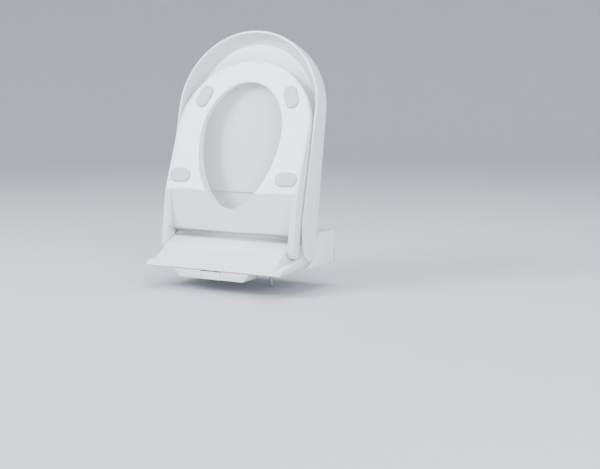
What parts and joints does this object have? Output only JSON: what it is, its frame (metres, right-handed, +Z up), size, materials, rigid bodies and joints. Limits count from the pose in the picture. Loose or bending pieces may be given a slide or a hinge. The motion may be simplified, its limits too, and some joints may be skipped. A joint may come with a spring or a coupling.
{
  "type": "electric bidet seat",
  "caption": "Electric bidet seat: white base unit bolted to a toilet bowl, with a damped lid, a heated seat ring and a motor-driven spray wand in a housing under its front lip.",
  "frame": {"origin": "midway between the two bolts to the bowl, on the plane of the bowl's rim that the unit rests on", "axes": "+Z up, +Y towards the wall behind the unit, +X to the right seen from the front"},
  "size_m": [0.375, 0.231, 0.5791],
  "materials": {
    "white_gloss": "glossy moulded white plastic",
    "wand_white": "satin white plastic",
    "soft_grey": "soft pale grey elastomer",
    "tray_grey": "matt pale grey plastic",
    "lens": "frosted lens",
    "damper_grey": "matt dark grey",
    "acetal": "natural acetal",
    "steel": "turned steel",
    "foil": "heating foil",
    "brass": "turned brass",
    "black_plastic": "matt black",
    "black_rubber": "matt black rubber",
    "hose": "silicone hose",
    "tank_plastic": "matt grey",
    "board_green": "solder mask"
  },
  "bodies": {
    "base": {"base_cover": "white_gloss", "rear_housing": "white_gloss", "base_tray": "tray_grey", "casing_screws": "steel", "nozzle_housing": "white_gloss", "night_light": "lens", "lid_damper_right": "damper_grey", "lid_damper_left": "damper_grey", "seat_damper_right": "damper_grey", "seat_damper_left": "damper_grey", "lid_bush_right": "acetal", "lid_bush_left": "acetal", "seat_bush_right": "acetal", "seat_bush_left": "acetal", "wand_motor": "steel", "wand_guide": "tray_grey", "mounting_plate": "tray_grey", "fixing_bolts": "steel", "fixing_washers": "steel", "latch_bracket": "tray_grey", "release_spring": "steel", "inlet_fitting": "brass", "solenoid_valve": "black_plastic", "flow_heater": "tank_plastic", "water_pump": "black_plastic", "water_hoses": "hose", "control_board": "board_green", "power_supply": "black_plastic", "power_gland": "black_rubber", "fan_housing": "tray_grey", "fan_motor": "steel", "carbon_filter": "black_plastic"},
    "lid": {"lid_shell": "white_gloss", "lid_liner": "white_gloss", "lid_bumpers": "soft_grey", "lid_shaft_right": "steel", "lid_shaft_left": "steel"},
    "seat_axle": {"seat_shaft_right": "steel", "seat_shaft_left": "steel"},
    "seat": {"seat_top_shell": "white_gloss", "seat_base_plate": "white_gloss", "seat_heater_foil": "foil", "seat_bumper_rear_right": "soft_grey", "seat_bumper_rear_left": "soft_grey", "seat_bumper_front_right": "soft_grey", "seat_bumper_front_left": "soft_grey"},
    "wand": {"wand_tube": "wand_white", "wand_tip": "wand_white", "wand_cover_plate": "white_gloss", "wand_rack": "acetal"},
    "pinion": {"drive_pinion": "acetal"},
    "button": {"release_button": "white_gloss"},
    "plunger": {"valve_plunger": "steel"},
    "fan": {"fan_impeller": "acetal"}
  },
  "joints": [
    {"name": "lid_hinge", "type": "hinge", "parent": "base", "child": "lid", "pos_m": [0, -0.005, 0.049], "axis": [1, 0, 0], "range_deg": [0, 104]},
    {"name": "seat_follow", "type": "hinge", "parent": "base", "child": "seat_axle", "pos_m": [0, -0.0525, 0.047], "axis": [1, 0, 0], "range_deg": [0, 111.01]},
    {"name": "seat_hinge", "type": "hinge", "parent": "seat_axle", "child": "seat", "pos_m": [0, -0.0525, 0.047], "axis": [-1, 0, 0], "range_deg": [-111, 0]},
    {"name": "wand_slide", "type": "slide", "parent": "base", "child": "wand", "axis": [0, -0.9272, -0.3746], "range_m": [0, 0.095]},
    {"name": "pinion_spin", "type": "hinge", "parent": "base", "child": "pinion", "pos_m": [0.017, -0.05946, 0.0186], "axis": [0, -0.3746, 0.9272], "range_deg": [-780, 780]},
    {"name": "release_press", "type": "slide", "parent": "base", "child": "button", "axis": [1, 0, 0], "range_m": [0, 0.004], "stiffness_N_per_m": 300, "springref_m": -0.005, "deforming": ["release_spring"]},
    {"name": "valve_lift", "type": "slide", "parent": "base", "child": "plunger", "axis": [0, 0, 1], "range_m": [0, 0.003], "stiffness_N_per_m": 120, "springref_m": -0.004},
    {"name": "fan_spin", "type": "hinge", "parent": "base", "child": "fan", "pos_m": [0.085, 0.005, 0.026], "axis": [0, 0, 1], "continuous": true}
  ],
  "couplings": [
    {"joint": "seat_follow", "follows": "lid_hinge", "ratio": 1.0673},
    {"joint": "pinion_spin", "follows": "wand_slide", "rad_per_m": 142.86}
  ]
}
